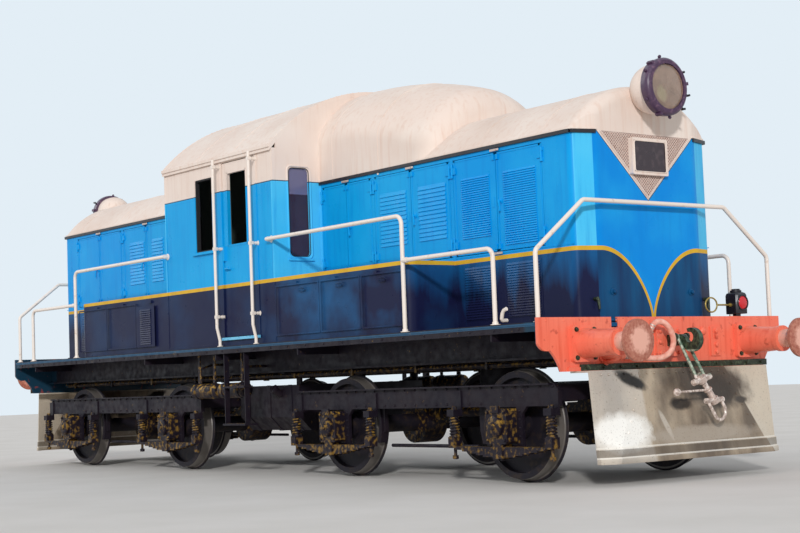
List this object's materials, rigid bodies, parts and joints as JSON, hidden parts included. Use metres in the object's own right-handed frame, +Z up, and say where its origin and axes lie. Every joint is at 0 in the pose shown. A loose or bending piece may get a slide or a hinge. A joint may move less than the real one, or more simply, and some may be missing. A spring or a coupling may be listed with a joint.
{
  "type": "diesel locomotive",
  "caption": "Centre-cab diesel locomotive with two hoods and a tall front fairing, on two swivelling bogies with outside frames, with opening cab and hood doors.",
  "frame": {"origin": "mid-length on the centreline, level with the tips of the wheel flanges", "axes": "+X to the front along the track, +Y to the left, +Z up"},
  "size_m": [11.02, 2.956, 3.8748],
  "materials": {
    "frame_paint": "black paint under oil and dust",
    "headstock_paint": "orange-red gloss paint",
    "buffer_steel": "worn brown-pink buffer head",
    "coupling_steel": "oily forged steel",
    "plough_steel": "bare silver-painted sheet, weathered",
    "body_paint": "sky blue above a yellow stripe, dark blue below",
    "roof_paint": "cream gloss paint",
    "bezel_paint": "dark purple-brown paint",
    "lamp_glass": "clear lamp glass",
    "window_glass": "tinted safety glass",
    "cab_paint": "grey interior paint",
    "engine_iron": "grey engine paint",
    "rail_paint": "off-white paint",
    "lamp_paint": "black lamp case with a red lens",
    "hose_rubber": "painted rubber hose",
    "wheel_steel": "rolled steel, bright on the tread only"
  },
  "bodies": {
    "frame": {"underframe": "frame_paint", "headstocks": "headstock_paint", "buffer_housings": "headstock_paint", "buffer_heads": "buffer_steel", "couplings": "coupling_steel", "ploughs": "plough_steel", "side_lockers": "body_paint", "hood_front": "body_paint", "hood_rear": "body_paint", "hood_roofs": "roof_paint", "roof_fairing": "roof_paint", "number_boxes": "roof_paint", "headlights": "bezel_paint", "headlight_lenses": "lamp_glass", "cab_end_walls": "body_paint", "cab_side_left": "body_paint", "cab_side_right": "body_paint", "cab_roof": "roof_paint", "cab_windows": "window_glass", "cab_fittings": "cab_paint", "engine": "engine_iron", "handrails": "rail_paint", "fuel_tank": "frame_paint", "air_reservoirs": "frame_paint", "cab_steps": "frame_paint", "tail_lamp": "lamp_paint", "brake_hose_front": "hose_rubber", "brake_hose_rear": "hose_rubber"},
    "bogie_front": {"bogie_frame_front": "frame_paint", "springs_front": "frame_paint", "drives_front": "frame_paint"},
    "bogie_rear": {"bogie_frame_rear": "frame_paint", "springs_rear": "frame_paint", "drives_rear": "frame_paint"},
    "wheels_1": {"wheelset_1": "wheel_steel"},
    "wheels_2": {"wheelset_2": "wheel_steel"},
    "wheels_3": {"wheelset_3": "wheel_steel"},
    "wheels_4": {"wheelset_4": "wheel_steel"},
    "cab_door_right": {"cab_door_right": "body_paint"},
    "cab_door_left": {"cab_door_left": "body_paint"},
    "hood_door_front_left_1a": {"hood_door_front_left_1a": "body_paint"},
    "hood_door_front_left_1b": {"hood_door_front_left_1b": "body_paint"},
    "hood_door_front_left_2a": {"hood_door_front_left_2a": "body_paint"},
    "hood_door_front_left_2b": {"hood_door_front_left_2b": "body_paint"},
    "hood_door_front_left_3a": {"hood_door_front_left_3a": "body_paint"},
    "hood_door_front_left_3b": {"hood_door_front_left_3b": "body_paint"},
    "hood_door_front_right_1a": {"hood_door_front_right_1a": "body_paint"},
    "hood_door_front_right_1b": {"hood_door_front_right_1b": "body_paint"},
    "hood_door_front_right_2a": {"hood_door_front_right_2a": "body_paint"},
    "hood_door_front_right_2b": {"hood_door_front_right_2b": "body_paint"},
    "hood_door_front_right_3a": {"hood_door_front_right_3a": "body_paint"},
    "hood_door_front_right_3b": {"hood_door_front_right_3b": "body_paint"},
    "hood_door_rear_left_2a": {"hood_door_rear_left_2a": "body_paint"},
    "hood_door_rear_left_2b": {"hood_door_rear_left_2b": "body_paint"},
    "hood_door_rear_left_3a": {"hood_door_rear_left_3a": "body_paint"},
    "hood_door_rear_left_3b": {"hood_door_rear_left_3b": "body_paint"},
    "hood_door_rear_right_2a": {"hood_door_rear_right_2a": "body_paint"},
    "hood_door_rear_right_2b": {"hood_door_rear_right_2b": "body_paint"},
    "hood_door_rear_right_3a": {"hood_door_rear_right_3a": "body_paint"},
    "hood_door_rear_right_3b": {"hood_door_rear_right_3b": "body_paint"}
  },
  "joints": [
    {"name": "bogie_front_swivel", "type": "hinge", "parent": "frame", "child": "bogie_front", "pos_m": [2.8, 0, 0.85], "axis": [0, 0, 1], "range_deg": [-4, 4]},
    {"name": "bogie_rear_swivel", "type": "hinge", "parent": "frame", "child": "bogie_rear", "pos_m": [-2.8, 0, 0.85], "axis": [0, 0, 1], "range_deg": [-4, 4]},
    {"name": "wheels_1_roll", "type": "hinge", "parent": "bogie_front", "child": "wheels_1", "pos_m": [4.02, 0, 0.485], "axis": [0, 1, 0], "continuous": true},
    {"name": "wheels_2_roll", "type": "hinge", "parent": "bogie_front", "child": "wheels_2", "pos_m": [1.58, 0, 0.485], "axis": [0, 1, 0], "continuous": true},
    {"name": "wheels_3_roll", "type": "hinge", "parent": "bogie_rear", "child": "wheels_3", "pos_m": [-1.58, 0, 0.485], "axis": [0, 1, 0], "continuous": true},
    {"name": "wheels_4_roll", "type": "hinge", "parent": "bogie_rear", "child": "wheels_4", "pos_m": [-4.02, 0, 0.485], "axis": [0, 1, 0], "continuous": true},
    {"name": "cab_door_right_hinge", "type": "hinge", "parent": "frame", "child": "cab_door_right", "pos_m": [0.754, -1.318, 2.3], "axis": [0, 0, -1], "range_deg": [0, 90]},
    {"name": "cab_door_left_hinge", "type": "hinge", "parent": "frame", "child": "cab_door_left", "pos_m": [-0.754, 1.318, 2.3], "axis": [0, 0, -1], "range_deg": [0, 90]},
    {"name": "hood_door_front_left_1a_hinge", "type": "hinge", "parent": "frame", "child": "hood_door_front_left_1a", "pos_m": [1.11, 0.824, 2.406], "axis": [0, 0, 1], "range_deg": [0, 85]},
    {"name": "hood_door_front_left_1b_hinge", "type": "hinge", "parent": "frame", "child": "hood_door_front_left_1b", "pos_m": [1.931, 0.824, 2.406], "axis": [0, 0, -1], "range_deg": [0, 85]},
    {"name": "hood_door_front_left_2a_hinge", "type": "hinge", "parent": "frame", "child": "hood_door_front_left_2a", "pos_m": [1.971, 0.824, 2.406], "axis": [0, 0, 1], "range_deg": [0, 85]},
    {"name": "hood_door_front_left_2b_hinge", "type": "hinge", "parent": "frame", "child": "hood_door_front_left_2b", "pos_m": [3.111, 0.824, 2.406], "axis": [0, 0, -1], "range_deg": [0, 85]},
    {"name": "hood_door_front_left_3a_hinge", "type": "hinge", "parent": "frame", "child": "hood_door_front_left_3a", "pos_m": [3.151, 0.824, 2.406], "axis": [0, 0, 1], "range_deg": [0, 85]},
    {"name": "hood_door_front_left_3b_hinge", "type": "hinge", "parent": "frame", "child": "hood_door_front_left_3b", "pos_m": [4.325, 0.824, 2.406], "axis": [0, 0, -1], "range_deg": [0, 85]},
    {"name": "hood_door_front_right_1a_hinge", "type": "hinge", "parent": "frame", "child": "hood_door_front_right_1a", "pos_m": [1.11, -0.824, 2.406], "axis": [0, 0, -1], "range_deg": [0, 85]},
    {"name": "hood_door_front_right_1b_hinge", "type": "hinge", "parent": "frame", "child": "hood_door_front_right_1b", "pos_m": [1.931, -0.824, 2.406], "axis": [0, 0, 1], "range_deg": [0, 85]},
    {"name": "hood_door_front_right_2a_hinge", "type": "hinge", "parent": "frame", "child": "hood_door_front_right_2a", "pos_m": [1.971, -0.824, 2.406], "axis": [0, 0, -1], "range_deg": [0, 85]},
    {"name": "hood_door_front_right_2b_hinge", "type": "hinge", "parent": "frame", "child": "hood_door_front_right_2b", "pos_m": [3.111, -0.824, 2.406], "axis": [0, 0, 1], "range_deg": [0, 85]},
    {"name": "hood_door_front_right_3a_hinge", "type": "hinge", "parent": "frame", "child": "hood_door_front_right_3a", "pos_m": [3.151, -0.824, 2.406], "axis": [0, 0, -1], "range_deg": [0, 85]},
    {"name": "hood_door_front_right_3b_hinge", "type": "hinge", "parent": "frame", "child": "hood_door_front_right_3b", "pos_m": [4.325, -0.824, 2.406], "axis": [0, 0, 1], "range_deg": [0, 85]},
    {"name": "hood_door_rear_left_2a_hinge", "type": "hinge", "parent": "frame", "child": "hood_door_rear_left_2a", "pos_m": [-1.971, 0.824, 2.406], "axis": [0, 0, -1], "range_deg": [0, 85]},
    {"name": "hood_door_rear_left_2b_hinge", "type": "hinge", "parent": "frame", "child": "hood_door_rear_left_2b", "pos_m": [-3.111, 0.824, 2.406], "axis": [0, 0, 1], "range_deg": [0, 85]},
    {"name": "hood_door_rear_left_3a_hinge", "type": "hinge", "parent": "frame", "child": "hood_door_rear_left_3a", "pos_m": [-3.151, 0.824, 2.406], "axis": [0, 0, -1], "range_deg": [0, 85]},
    {"name": "hood_door_rear_left_3b_hinge", "type": "hinge", "parent": "frame", "child": "hood_door_rear_left_3b", "pos_m": [-4.325, 0.824, 2.406], "axis": [0, 0, 1], "range_deg": [0, 85]},
    {"name": "hood_door_rear_right_2a_hinge", "type": "hinge", "parent": "frame", "child": "hood_door_rear_right_2a", "pos_m": [-1.971, -0.824, 2.406], "axis": [0, 0, 1], "range_deg": [0, 85]},
    {"name": "hood_door_rear_right_2b_hinge", "type": "hinge", "parent": "frame", "child": "hood_door_rear_right_2b", "pos_m": [-3.111, -0.824, 2.406], "axis": [0, 0, -1], "range_deg": [0, 85]},
    {"name": "hood_door_rear_right_3a_hinge", "type": "hinge", "parent": "frame", "child": "hood_door_rear_right_3a", "pos_m": [-3.151, -0.824, 2.406], "axis": [0, 0, 1], "range_deg": [0, 85]},
    {"name": "hood_door_rear_right_3b_hinge", "type": "hinge", "parent": "frame", "child": "hood_door_rear_right_3b", "pos_m": [-4.325, -0.824, 2.406], "axis": [0, 0, -1], "range_deg": [0, 85]}
  ]
}
